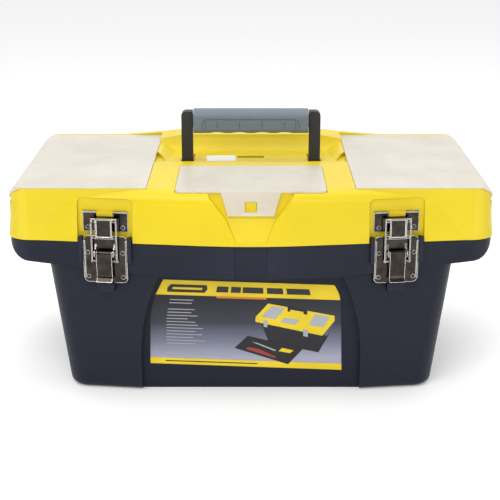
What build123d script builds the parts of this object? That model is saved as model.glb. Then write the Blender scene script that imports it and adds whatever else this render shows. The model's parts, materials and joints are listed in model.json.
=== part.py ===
from build123d import *

import os
from math import atan, cos, radians, sin, sqrt, tan

os.makedirs("parts", exist_ok=True)

# A carpenter's toolbox: a tub with a lift-out tray, a hinged lid with three lidded organisers
# and a folding handle, and two draw latches. Millimetres: X along the box, -Y the front, +Z up,
# and the origin in the middle of the underside.

# ---------------------------------------------------------------- driving sizes
LENGTH = 486.0  # over the lid, end to end
FRONT = 138.0  # nose of the front ahead of the origin
LID_BACK_Y = 130.5
SEAM_Z = 160.0
DECK_Z = 212.4  # top of the lid's flat deck
WALL = 2.8
GAP = 0.4  # between covers and lid, lid and tub

# bowed front shared by lid, belt and tub
NOSE_HALF = 50.0
NOSE_DEPTH = 3.0
BOW_SLOPE = 0.12
RIM_RADIUS = 22.0

# tub
FOOT_HALF = 186.5
NECK_HALF = 204.3
FOOT_FRONT = 130.1
NECK_FRONT = 133.0
FOOT_BACK_Y = 116.0
NECK_BACK_Y = 120.0
NECK_Z = 138.0  # top of the tapered body, inside the belt
BODY_RADIUS = 22.0
FOOT_FILLET = 8.0
BELT_INSET = 1.5
BELT_MID_Z = 126.0
BELT_FLAT_HALF = 84.0
BELT_END_Z = 137.5
BELT_ROUND = 22.0
PANEL_Y = -112.0  # sunk label panel
PANEL_FOOT_HALF = 111.0
PANEL_TOP_HALF = 91.0
PANEL_STRAIGHT_Z = 30.0
DIMPLE_HALF = 16.0
DIMPLE_DEPTH = 1.4

# lid
LID_DRAFT = 5.0  # lean of the lid's belt over its height
CREST_FLAT = 95.0
CREST_END_Z = 196.5
CREST_FILLET = 12.0
DECK_INSET = 2.5
DECK_FRONT_Y = -115.5
DECK_RADIUS = 22.0
DECK_END_RADIUS = 14.0
DECK_SKIN = 5.0
HILL_TOP_Z = 220.5
HILL_BACK_Z = 218.5
HILL_FLAT_HALF = 74.0
HILL_SIDE_Z = 216.0  # where the hill passes the side covers' inner edges
HILL_FOOT_HALF = 148.0
HILL_FRONT_Y = 75.0  # foot of the hill's hollow front
HILL_CREST_Y = 92.0
HILL_HOLLOW = 3.5  # how deep that hollow is against its chord

# handle and its recess
RECESS_HALF = 98.0
RECESS_FRONT_Y = -4.0
RECESS_FRONT_Z = 209.5
RECESS_BACK_Z = 205.0
RECESS_SLOPE = 14.0  # run of its sloping ends
SLIVER = 0.06
HANDLE_HALF = 74.5
ARM_WIDTH = 12.0
ARM_DEPTH = 12.0
PIVOT_Y = 23.0
PIVOT_Z = 202.0
HANDLE_TOP_Z = 262.0
GRIP_HALF = 61.5
GRIP_LOW_Z = 238.5
GRIP_HIGH_Z = 263.5
GRIP_DEPTH = 23.0
CORE_HEIGHT = 12.0
GROOVE = 0.5  # depth of the grip's lines
GROOVE_TOP_Z = 254.5
HANDLE_PIN_R = 2.0
PIT_CLEAR = 1.0
PIT_FLOOR_Z = 195.0
PIT_BACK_Y = 58.0
SLOT_Y = 45.0
SLOT_HALF = 14.5
SLOT_WIDTH = 11.0
NOTCH_Y = 13.0
NOTCH_FRONT = 24.0
NOTCH_BACK = 34.0
NOTCH_DEPTH = 12.0
NOTCH_FALL = 3.0

# side organisers
COVER_T = 2.0
COVER_INNER_X = 103.0
COVER_FRONT_Y = -113.0
COVER_BACK_Y = 122.0
COVER_RADIUS = 18.0
COVER_BEND_X = 226.0  # where the cover turns down at its end
COVER_AXIS_X = 238.4
COVER_AXIS_Z = 197.8
BARREL_R = 2.0
BARREL_HALF = 80.0
EAR_LENGTH = 4.0
STUB_R = 1.2  # moulded hinge stubs
STUB_LENGTH = 3.0
STUB_CLEAR = 0.06
WELL_FLOOR_Z = 180.0
WELL_WALL = 2.2
WELL_INNER_X = 108.5
WELL_OUTER_X = 229.0
WELL_FRONT_Y = -107.0
WELL_BACK_Y = 114.0
WELL_ROWS = 3
WELL_RADIUS = 5.0

# middle organiser
MID_HALF = 74.0
MID_BACK_Y = -24.5
MID_FRONT_Y = -124.0
MID_BARREL_R = 2.2
MID_WELL_HALF = 58.0  # at the floor
MID_WELL_FLOOR_Z = 188.0
MID_WELL_FRONT_Y = -104.0
MID_WELL_BACK_Y = -42.0
MID_WELL_LEAN = 15.0
TONGUE_TOP_HALF = 30.0
TONGUE_TIP_HALF = 22.5
TONGUE_TIP_Z = 189.0
TONGUE_TIP_Y = -130.0
FUNNEL_CLEAR = 0.5

# latches, in their own frame: u along the front, n outwards from the lid's rim, z up
LATCH_X = 143.5
SHEET = 1.2
PLATE_HALF = 22.0
PLATE_LOW_Z = 119.0
PLATE_HIGH_Z = 167.0
POCKET_HALF = 27.5
POCKET_TOP_Z = 204.0
POCKET_N = -6.0
STRIKE_HALF = 22.5
STRIKE_LOW_Z = 170.4
STRIKE_HIGH_Z = 191.0
LEVER_N = 3.5
LEVER_Z = 150.0
LEVER_HALF = 7.8
LEVER_PIN_R = 1.5
LINK_N = 2.5
LINK_Z = 142.0
LINK_HALF = 13.0
LINK_TOP_Z = 186.0
LINK_PIN_R = 1.1
FRAME_HALF = 8.4
FRAME_LOW_Z = 165.5
EAR_HALF = 10.0
PIN_CLEAR = 0.05
RIVET_R = 1.4
RIVET_HEAD_R = 2.6

# lid hinge
HINGE_X = 150.0
HINGE_Y = 134.0
KNUCKLE_R = 4.0
KNUCKLE_LENGTH = 20.0
KNUCKLE_GAP = 0.4
HINGE_PIN_R = 1.5

# tote tray
TRAY_HALF = 192.0
TRAY_RIM_HALF = 212.0
TRAY_FRONT_Y = -105.0
TRAY_BACK_Y = 111.0
TRAY_LOW_Z = 106.0
TRAY_TOP_Z = 160.0
TRAY_RIM_Z = 140.6
TRAY_SPLIT_Y = 6.0  # its middle partition
TRAY_WALL = 2.4

REACH = 400.0  # length of through cuts
SIDES = (-1, 1)

# ---------------------------------------------------------------- derived sizes
HALF = LENGTH / 2
LID_Z = SEAM_Z + GAP
RIM_Z = SEAM_Z - GAP
SLANT = atan(BOW_SLOPE)
SEAT_Z = DECK_Z + 0.6 - COVER_T - GAP  # seat under the covers
COVER_Z = SEAT_Z + GAP  # underside of the covers
LATCH_Y = -FRONT + NOSE_DEPTH + BOW_SLOPE * (LATCH_X - NOSE_HALF)
MID_AXIS_Z = COVER_Z + COVER_T - MID_BARREL_R


# ---------------------------------------------------------------- helpers
def outline(half, front, back_y, radius):
    """Plan face with the bowed front."""
    nose_y = NOSE_DEPTH - front
    corner_y = nose_y + BOW_SLOPE * (half - NOSE_HALF)
    with BuildSketch() as plan:
        with BuildLine():
            ThreePointArc((-NOSE_HALF, nose_y), (0, -front), (NOSE_HALF, nose_y))
            Polyline((NOSE_HALF, nose_y), (half, corner_y), (half, back_y))
            Polyline((half, back_y), (-half, back_y), (-half, corner_y), (-NOSE_HALF, nose_y))
        make_face()
        fillet([v for v in plan.vertices() if abs(v.X) > half - 0.01], radius)
    return plan.sketch_local


def rounded(half, front_y, back_y, radius):
    """Plan rectangle with four rounded corners."""
    with BuildSketch() as plan:
        with Locations((0, (front_y + back_y) / 2)):
            RectangleRounded(2 * half, back_y - front_y, radius)
    return plan.sketch_local


def block(x_span, y_span, z_span, mode=Mode.ADD):
    """A box between three pairs of limits."""
    spans = (x_span, y_span, z_span)
    middle = tuple((low + high) / 2 for low, high in spans)
    with Locations(middle):
        Box(*(abs(high - low) for low, high in spans), mode=mode)


def rod(start, direction, radius, length, mode=Mode.ADD):
    """A round bar from start."""
    with Locations(Plane(origin=start, z_dir=direction)):
        Cylinder(radius, length, align=(Align.CENTER, Align.CENTER, Align.MIN), mode=mode)


def prism(plane, points, reach, both=True, mode=Mode.ADD):
    """A straight-sided outline pushed out from a plane."""
    with BuildSketch(plane) as profile:
        with BuildLine():
            Polyline(*points, close=True)
        make_face()
    extrude(profile.sketch.faces(), amount=reach, both=both, mode=mode)


def save(piece, name):
    """Label one piece and write it."""
    piece.label = name
    export_step(piece, f"parts/{name}.step")


# ================================================================ tub
def body_form(inset, low_z, panel):
    """The tapered body pulled in by inset, from low_z up, with the sunk panel."""
    lean = low_z / NECK_Z
    with BuildPart() as body:
        with BuildSketch(Plane.XY.offset(low_z)):
            half = FOOT_HALF + lean * (NECK_HALF - FOOT_HALF) - inset
            front = FOOT_FRONT + lean * (NECK_FRONT - FOOT_FRONT) - inset
            back_y = FOOT_BACK_Y + lean * (NECK_BACK_Y - FOOT_BACK_Y) - inset
            add(outline(half, front, back_y, BODY_RADIUS - inset))
        with BuildSketch(Plane.XY.offset(NECK_Z)):
            add(outline(NECK_HALF - inset, NECK_FRONT - inset, NECK_BACK_Y - inset, BODY_RADIUS - inset))
        loft(ruled=True)
        fillet(body.faces().sort_by(Axis.Z)[0].edges(), FOOT_FILLET - inset)
        low = PANEL_FOOT_HALF + inset
        high = PANEL_TOP_HALF + inset
        bulge = (low - 0.2 * (low - high), PANEL_STRAIGHT_Z + 0.5 * (BELT_MID_Z - PANEL_STRAIGHT_Z))
        with BuildSketch(Plane.XZ.offset(-PANEL_Y - inset)):
            with BuildLine():
                ThreePointArc((high, BELT_MID_Z), bulge, (low, PANEL_STRAIGHT_Z))
                Polyline((low, PANEL_STRAIGHT_Z), (low, -10), (-low, -10), (-low, PANEL_STRAIGHT_Z))
                ThreePointArc((-low, PANEL_STRAIGHT_Z), (-bulge[0], bulge[1]), (-high, BELT_MID_Z))
                Polyline((-high, BELT_MID_Z), (-high, NECK_Z + 10), (high, NECK_Z + 10), (high, BELT_MID_Z))
            make_face()
        extrude(amount=panel, mode=Mode.SUBTRACT)
    return body.part


def belt_form(inset, top_z):
    """The belt round the tub's rim, pulled in by inset; its underside rises to rounded ends."""
    end = HALF - BELT_INSET - inset
    turn = HALF - BELT_INSET - BELT_ROUND
    rise = BELT_END_Z + inset
    knee = (turn + 0.7 * (end - turn), rise + 0.3 * (RIM_Z - rise))
    with BuildPart() as belt:
        with BuildSketch(Plane.XY.offset(BELT_MID_Z - 1)):
            back_y = LID_BACK_Y - BELT_INSET - inset
            add(outline(end, FRONT - BELT_INSET - inset, back_y, RIM_RADIUS - BELT_INSET - inset))
        extrude(amount=top_z - BELT_MID_Z + 1)
        with BuildSketch(Plane.XZ):
            with BuildLine():
                flat_z = BELT_MID_Z + inset
                Polyline((-turn, rise), (-BELT_FLAT_HALF, flat_z), (BELT_FLAT_HALF, flat_z), (turn, rise))
                ThreePointArc((turn, rise), knee, (end + 0.01, RIM_Z - 0.5))
                far = end + 0.01
                Polyline((far, RIM_Z - 0.5), (far, top_z + 1), (-far, top_z + 1), (-far, RIM_Z - 0.5))
                ThreePointArc((-far, RIM_Z - 0.5), (-knee[0], knee[1]), (-turn, rise))
            make_face()
        extrude(amount=REACH, both=True, mode=Mode.INTERSECT)
    return belt.part


# ================================================================ lid
def crest_z(x, inset):
    """Height of the lid belt's crest at a distance x from the middle."""
    drop = DECK_Z - CREST_END_Z
    radius = ((HALF - CREST_FLAT) ** 2 + drop**2) / (2 * drop)
    return DECK_Z - inset - radius + sqrt(radius**2 - (x - CREST_FLAT) ** 2)


def hollow_point(inset):
    """Middle of the hill's hollow front, moved into the hill by inset."""
    run, rise = HILL_CREST_Y - HILL_FRONT_Y, HILL_TOP_Z - RECESS_BACK_Z
    chord = sqrt(run**2 + rise**2)
    push = (HILL_HOLLOW + inset) / chord
    return (HILL_FRONT_Y + HILL_CREST_Y) / 2 + rise * push, (HILL_TOP_Z + RECESS_BACK_Z) / 2 - run * push


def lid_form(inset, skin):
    """The lid's outside pulled in by inset, with its deck pulled down by skin."""
    with BuildPart() as belt:
        with BuildSketch(Plane.XY.offset(LID_Z)):
            add(outline(HALF - inset, FRONT - inset, LID_BACK_Y - inset, RIM_RADIUS - inset))
        with BuildSketch(Plane.XY.offset(DECK_Z + 4)):
            lean = inset + LID_DRAFT
            add(outline(HALF - lean, FRONT - lean, LID_BACK_Y - inset, RIM_RADIUS - inset))
        loft(ruled=True)
        with BuildSketch(Plane.XZ):
            with BuildLine():
                mid_x = (HALF + CREST_FLAT) / 2
                Line((-CREST_FLAT, DECK_Z - inset), (CREST_FLAT, DECK_Z - inset))
                mid_z, end_z = crest_z(mid_x, inset), crest_z(HALF, inset)
                ThreePointArc((CREST_FLAT, DECK_Z - inset), (mid_x, mid_z), (HALF, end_z))
                Polyline((HALF, end_z), (HALF, LID_Z), (-HALF, LID_Z), (-HALF, end_z))
                ThreePointArc((-HALF, end_z), (-mid_x, mid_z), (-CREST_FLAT, DECK_Z - inset))
            make_face()
        extrude(amount=REACH, both=True, mode=Mode.INTERSECT)
        rim = [
            e
            for e in belt.edges()
            if e.center().Z > CREST_END_Z - inset - 2
            and abs(e.tangent_at(0.5).Z) < 0.5
            and e.center().Y < LID_BACK_Y - inset - 1
            and (abs(e.tangent_at(0.5).Y) < 0.95 or abs(e.center().X) > HALF - 20)
        ]
        fillet(rim, CREST_FILLET - inset)
    with BuildPart() as deck:
        with BuildSketch(Plane.XY.offset(LID_Z)):
            end = HALF - DECK_INSET - inset
            add(rounded(end, DECK_FRONT_Y + inset, LID_BACK_Y - inset, DECK_RADIUS - inset))
        extrude(amount=DECK_Z - skin - LID_Z)
        with BuildSketch(Plane.XZ):
            with Locations((0, (DECK_Z - skin) / 2)):
                RectangleRounded(2 * end, DECK_Z - skin, DECK_END_RADIUS - inset)
        extrude(amount=REACH, both=True, mode=Mode.INTERSECT)
    with BuildPart() as hill:
        low = LID_Z + 10
        foot = (HILL_FOOT_HALF - inset, DECK_Z - skin)
        bend = (COVER_INNER_X, HILL_SIDE_Z - inset)
        top = (HILL_FLAT_HALF, HILL_TOP_Z - inset)
        right = ((foot[0], low), foot, bend, top)
        prism(Plane.XZ, right + tuple((-x, z) for x, z in reversed(right)), REACH)
        front, crest, back = HILL_FRONT_Y + inset, HILL_CREST_Y + inset, LID_BACK_Y - inset
        top_z, back_z = HILL_TOP_Z - inset, HILL_BACK_Z - inset
        with BuildSketch(Plane.YZ):
            with BuildLine():
                ThreePointArc((front, RECESS_BACK_Z - inset), hollow_point(inset), (crest, top_z))
                Polyline((crest, top_z), (crest + 4, top_z), (back - 3, back_z), (back, back_z - 3))
                Polyline((back, back_z - 3), (back, low), (front, low), (front, RECESS_BACK_Z - inset))
            make_face()
        extrude(amount=REACH, both=True, mode=Mode.INTERSECT)
    with BuildPart() as form:
        add(belt.part)
        add(deck.part)
        add(hill.part)
    return form.part


# ---------------------------------------------------------------- latch frame
def latch_plane(side, u=0.0, n=0.0):
    """Front elevation of one latch: x along the front, y up, z outwards."""
    along = Vector(cos(SLANT), side * sin(SLANT), 0)
    outwards = Vector(side * sin(SLANT), -cos(SLANT), 0)
    origin = Vector(side * LATCH_X, LATCH_Y, 0) + along * u + outwards * n
    return Plane(origin=origin, x_dir=along, z_dir=outwards)


def latch_profile_plane(side, u=0.0):
    """Side elevation of one latch: x outwards, y up, z against u."""
    front = latch_plane(side, u)
    return Plane(origin=front.origin, x_dir=front.z_dir, z_dir=-front.x_dir)


def latch_block(side, u_span, z_span, n_span, mode=Mode.ADD):
    """A box in a latch's own frame."""
    low_u, high_u = u_span
    low_z, high_z = z_span
    low_n, high_n = n_span
    with BuildSketch(latch_plane(side, 0, low_n)) as face:
        with Locations(((low_u + high_u) / 2, (low_z + high_z) / 2)):
            Rectangle(high_u - low_u, high_z - low_z)
    extrude(face.sketch.faces(), amount=high_n - low_n, mode=mode)


def latch_rod(side, n, z, radius, half, mode=Mode.ADD):
    """A round bar along a latch's u axis."""
    with BuildSketch(latch_profile_plane(side)) as face:
        with Locations((n, z)):
            Circle(radius)
    extrude(face.sketch.faces(), amount=half, both=True, mode=mode)


RIVET_PLACES = ((-17.5, 125.0), (17.5, 125.0), (-17.5, 150.0), (17.5, 150.0))
STRIKE_PLACES = ((-17.5, 175.0), (17.5, 175.0))
PLATE_BACK = -BELT_INSET * cos(SLANT)
PLATE_FACE = PLATE_BACK + SHEET
STRIKE_FACE = POCKET_N + SHEET


def rivets(side, places, face_n, grow=0.0, heads=True):
    """Domed rivets through a latch's sheet."""
    with BuildPart() as group:
        for u, z in places:
            with BuildSketch(latch_plane(side, 0, face_n)) as shank:
                with Locations((u, z)):
                    Circle(RIVET_R + grow)
            extrude(shank.sketch.faces(), amount=-3.4)
            if heads:
                with BuildSketch(latch_plane(side, 0, face_n)) as head:
                    with Locations((u, z)):
                        Circle(RIVET_HEAD_R)
                extrude(head.sketch.faces(), amount=0.9, taper=25)
    return group.part


# ---------------------------------------------------------------- hinge
def knuckle_span(side, which):
    """X limits of one knuckle: 0 the tub's, -1 and 1 the lid's beside it."""
    centre = side * HINGE_X + which * (KNUCKLE_LENGTH + KNUCKLE_GAP)
    return centre - KNUCKLE_LENGTH / 2, centre + KNUCKLE_LENGTH / 2


def knuckle(span, web_z, grow, mode=Mode.ADD):
    """A hinge knuckle with its web to the wall in front of it."""
    x_span = (span[0] - grow, span[1] + grow)
    rod((x_span[0], HINGE_Y, SEAM_Z), (1, 0, 0), KNUCKLE_R + grow, x_span[1] - x_span[0], mode)
    if web_z:
        wall_y = LID_BACK_Y - BELT_INSET - 1
        low, high = sorted((SEAM_Z, web_z))
        block(x_span, (wall_y, HINGE_Y), (low, high), mode)


# ================================================================ tub
with BuildPart() as tub:
    add(body_form(0, 0, REACH))
    add(belt_form(0, RIM_Z))
    for side in SIDES:
        # pads and guards for the latches, and the boss under each lever's tip
        latch_block(side, (-PLATE_HALF, PLATE_HALF), (PLATE_LOW_Z - 2, BELT_END_Z + 4), (-14, PLATE_BACK))
        latch_block(side, (-8.5, 8.5), (110, PLATE_LOW_Z), (-14, 2.2))
        for u in SIDES:
            guard = sorted((u * (PLATE_HALF + 0.4), u * (PLATE_HALF + 4.4)))
            latch_block(side, guard, (140, PLATE_HIGH_Z - 1), (PLATE_BACK - 2, 2.5))
        knuckle(knuckle_span(side, 0), SEAM_Z - 16, 0)
    dimple_y = (-FRONT - 5, -FRONT + BELT_INSET + DIMPLE_DEPTH)
    block((-DIMPLE_HALF, DIMPLE_HALF), dimple_y, (BELT_MID_Z - 1, RIM_Z + 1), Mode.SUBTRACT)
    add(body_form(WALL, WALL, REACH), mode=Mode.SUBTRACT)
    add(belt_form(WALL, RIM_Z + 5), mode=Mode.SUBTRACT)
    for side in SIDES:
        add(rivets(side, RIVET_PLACES, PLATE_FACE, 0, False), mode=Mode.SUBTRACT)
        for which in SIDES:
            knuckle(knuckle_span(side, which), 0, GAP, Mode.SUBTRACT)
        start = knuckle_span(side, -1)[0] - 1
        rod((start, HINGE_Y, SEAM_Z), (1, 0, 0), HINGE_PIN_R, 3 * KNUCKLE_LENGTH + 4, Mode.SUBTRACT)
    # two stiffening ribs across the floor
    for x in (-130, 130):
        block((x - 1, x + 1), (-100, 100), (WALL - 0.5, WALL + 5))
save(tub.part, "tub")

with BuildPart() as front_label:
    # its upper corners are cut to the panel's curved flanks
    with BuildSketch(Plane.XZ.offset(-PANEL_Y)):
        with BuildLine():
            Line((-88, 118), (84, 112))
            ThreePointArc((84, 112), (88.8, 103), (91.2, 92))
            Polyline((91.2, 92), (93, 19.4), (-103, 27), (-102, 78))
            ThreePointArc((-102, 78), (-97.5, 99), (-88, 118))
        make_face()
    extrude(amount=0.4)
save(front_label.part, "front_label")


# ================================================================ lid
def cover_rebate(side):
    """Room in the lid for one side cover, with clearance all round."""
    with BuildPart() as rebate:
        inner = side * (COVER_INNER_X - GAP)
        bend = side * COVER_BEND_X
        out = side * (COVER_AXIS_X - 0.6)
        far = side * (HALF + 20)
        with BuildSketch(Plane.XZ.offset(-COVER_FRONT_Y + GAP)):
            with BuildLine():
                Polyline((bend, SEAT_Z), (inner, SEAT_Z), (inner, DECK_Z + 40), (far, DECK_Z + 40))
                Polyline((far, DECK_Z + 40), (far, COVER_AXIS_Z - 3), (out, COVER_AXIS_Z - 3))
                Line((out, COVER_AXIS_Z - 3), (out, COVER_AXIS_Z + 1))
                corner = (side * (COVER_BEND_X + 8.6), SEAT_Z - 3.6)
                ThreePointArc((out, COVER_AXIS_Z + 1), corner, (bend, SEAT_Z))
            make_face()
        extrude(amount=COVER_FRONT_Y - COVER_BACK_Y - 2 * GAP)
        start = (side * COVER_AXIS_X, COVER_FRONT_Y - GAP, COVER_AXIS_Z)
        rod(start, (0, 1, 0), BARREL_R + GAP, COVER_BACK_Y - COVER_FRONT_Y + 2 * GAP)
    return rebate.part


def pocket_grid(x_span, y_span, low_z, columns, rows, lean=0.0):
    """Compartments with rounded corners, divided by moulded partitions, whose walls lean out by degrees."""
    step_x = (x_span[1] - x_span[0] + WELL_WALL) / columns
    step_y = (y_span[1] - y_span[0] + WELL_WALL) / rows
    middle = ((x_span[0] + x_span[1]) / 2, (y_span[0] + y_span[1]) / 2)
    with BuildPart() as pockets:
        with BuildSketch(Plane.XY.offset(low_z)):
            with Locations(middle):
                with GridLocations(step_x, step_y, columns, rows):
                    RectangleRounded(step_x - WELL_WALL, step_y - WELL_WALL, WELL_RADIUS)
        extrude(amount=DECK_Z + 3 - low_z, taper=-lean)
    return pockets.part


RECESS_FALL = (RECESS_FRONT_Z - RECESS_BACK_Z) / (HILL_FRONT_Y + SLIVER - RECESS_FRONT_Y)


def floor_z(y):
    """Height of the sloping floor of the handle's recess."""
    return RECESS_FRONT_Z - RECESS_FALL * (y - RECESS_FRONT_Y)


def finger_notch(side):
    """Three-cornered hollow that lets a finger under a side cover's inner edge."""
    inner, outer = side * (COVER_INNER_X - NOTCH_DEPTH), side * (COVER_INNER_X + 2)
    with BuildPart() as notch:
        prism(Plane.XY, ((inner, NOTCH_Y), (outer, NOTCH_Y - NOTCH_FRONT), (outer, NOTCH_Y + NOTCH_BACK)), REACH)
        low_z = SEAT_Z - NOTCH_FALL
        slope = ((inner, floor_z(NOTCH_Y)), (outer, low_z), (outer, DECK_Z + 9), (inner, DECK_Z + 9))
        prism(Plane.XZ, slope, REACH, mode=Mode.INTERSECT)
    return notch.part


outer_form = lid_form(0, 0)
PIT_X = (GRIP_HALF, HANDLE_HALF + PIT_CLEAR)
FUNNEL_RIGHT = ((45, DECK_Z + 8), (41, 208), (24, 186), (13.6, 162))
FUNNEL = FUNNEL_RIGHT + tuple((-x, z) for x, z in reversed(FUNNEL_RIGHT))
TONGUE_TOP_Y = MID_FRONT_Y


def funnel_profile(depth):
    """Side elevation of the funnel over the front catch, its floor pushed in by depth."""
    inner_y = TONGUE_TOP_Y + COVER_T + FUNNEL_CLEAR + depth
    low_y = TONGUE_TIP_Y + COVER_T + FUNNEL_CLEAR + depth
    return (
        (-FRONT - 20, DECK_Z + 8),
        (inner_y, DECK_Z + 8),
        (inner_y, COVER_Z),
        (low_y, TONGUE_TIP_Z - 2),
        (-FRONT - 0.2 + depth, 163 - depth),
        (-FRONT - 20, 163 - depth),
    )


with BuildPart() as funnel_back:
    prism(Plane.XZ, tuple((x * 1.12, z) for x, z in FUNNEL), REACH)
    prism(Plane.YZ, funnel_profile(3.0), REACH, mode=Mode.INTERSECT)

with BuildPart() as funnel:
    prism(Plane.XZ, FUNNEL, REACH)
    prism(Plane.YZ, funnel_profile(0), REACH, mode=Mode.INTERSECT)

with BuildPart() as recess:
    with BuildSketch(Plane.YZ):
        with BuildLine():
            # the cut runs a hair inside the hill's own surface and so leaves one clean face
            foot = (HILL_FRONT_Y + SLIVER, RECESS_BACK_Z)
            crest = (HILL_CREST_Y + SLIVER, HILL_TOP_Z)
            high_z = HILL_TOP_Z + 5
            front_top, front_low = (RECESS_FRONT_Y, high_z), (RECESS_FRONT_Y, RECESS_FRONT_Z)
            Polyline(crest, (crest[0], high_z), front_top, front_low, foot)
            ThreePointArc(foot, hollow_point(SLIVER), crest)
        make_face()
    extrude(amount=RECESS_HALF, both=True)
    foot_half = RECESS_HALF - RECESS_SLOPE
    right = ((foot_half, RECESS_BACK_Z - 1), (RECESS_HALF, DECK_Z), (RECESS_HALF, HILL_TOP_Z + 6))
    prism(Plane.XZ, right + tuple((-x, z) for x, z in reversed(right)), REACH, mode=Mode.INTERSECT)

with BuildPart() as lid_blocks:
    for side in SIDES:
        inner, outer = side * (WELL_INNER_X - WELL_WALL), side * (WELL_OUTER_X + WELL_WALL)
        y_span = (WELL_FRONT_Y - WELL_WALL, WELL_BACK_Y + WELL_WALL)
        block((inner, outer) if side > 0 else (outer, inner), y_span, (WELL_FLOOR_Z - WELL_WALL, DECK_Z))
        rail = sorted((side * WELL_OUTER_X, side * (HALF + 1)))
        block(rail, (COVER_FRONT_Y - 1, COVER_BACK_Y + 3), (COVER_AXIS_Z - 10, DECK_Z))
        pit = sorted((side * (PIT_X[0] - 4), side * (PIT_X[1] + 4)))
        block(pit, (PIVOT_Y - ARM_DEPTH / 2 - 7, PIT_BACK_Y + 3), (PIT_FLOOR_Z - 3, DECK_Z))
        backing = POCKET_HALF + 3
        latch_block(side, (-backing, backing), (LID_Z, POCKET_TOP_Z + 3), (POCKET_N - 3, 3))
    spread = (DECK_Z - MID_WELL_FLOOR_Z) * tan(radians(MID_WELL_LEAN)) + WELL_WALL
    mid_y = (MID_WELL_FRONT_Y - spread, MID_WELL_BACK_Y + spread)
    mid_x = MID_WELL_HALF + spread
    block((-mid_x, mid_x), mid_y, (MID_WELL_FLOOR_Z - WELL_WALL, DECK_Z))
    under = 3.0
    # keeps the lid closed under the middle cover's hinge barrel and the finger notches
    barrel_low = MID_AXIS_Z - MID_BARREL_R - GAP - under
    barrel_y = (MID_BACK_Y - 7, MID_BACK_Y + MID_BARREL_R + GAP + under)
    block((-MID_HALF - GAP - under, MID_HALF + GAP + under), barrel_y, (barrel_low, DECK_Z))
    for side in SIDES:
        notch_x = sorted((side * (COVER_INNER_X - NOTCH_DEPTH - under), side * (WELL_INNER_X - WELL_WALL)))
        notch_y = (NOTCH_Y - NOTCH_FRONT - under, NOTCH_Y + NOTCH_BACK + under)
        block(notch_x, notch_y, (COVER_Z - NOTCH_FALL - 2 * under, DECK_Z))
    floor = (
        (RECESS_FRONT_Y - under, DECK_Z),
        (RECESS_FRONT_Y - under, RECESS_FRONT_Z - under),
        (HILL_FRONT_Y, RECESS_BACK_Z - under),
        (HILL_FRONT_Y + 12, RECESS_BACK_Z - 1),
        (HILL_CREST_Y + 5, DECK_Z),
        (HILL_CREST_Y + 5, HILL_TOP_Z),
    )
    prism(Plane.YZ, floor, RECESS_HALF + under)
    for side in SIDES:
        # walls that close the hill beside and behind each side cover
        edge = COVER_INNER_X - GAP
        end_wall = sorted((side * (edge - WALL), side * edge))
        block(end_wall, (HILL_FRONT_Y, LID_BACK_Y), (RECESS_BACK_Z, HILL_TOP_Z))
        back_wall = sorted((side * (edge - WALL), side * HILL_FOOT_HALF))
        back_y = (COVER_BACK_Y + GAP, LID_BACK_Y)
        block(back_wall, back_y, (DECK_Z - DECK_SKIN - 1, HILL_TOP_Z))
    add(funnel_back.part)
    add(outer_form, mode=Mode.INTERSECT)

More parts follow.
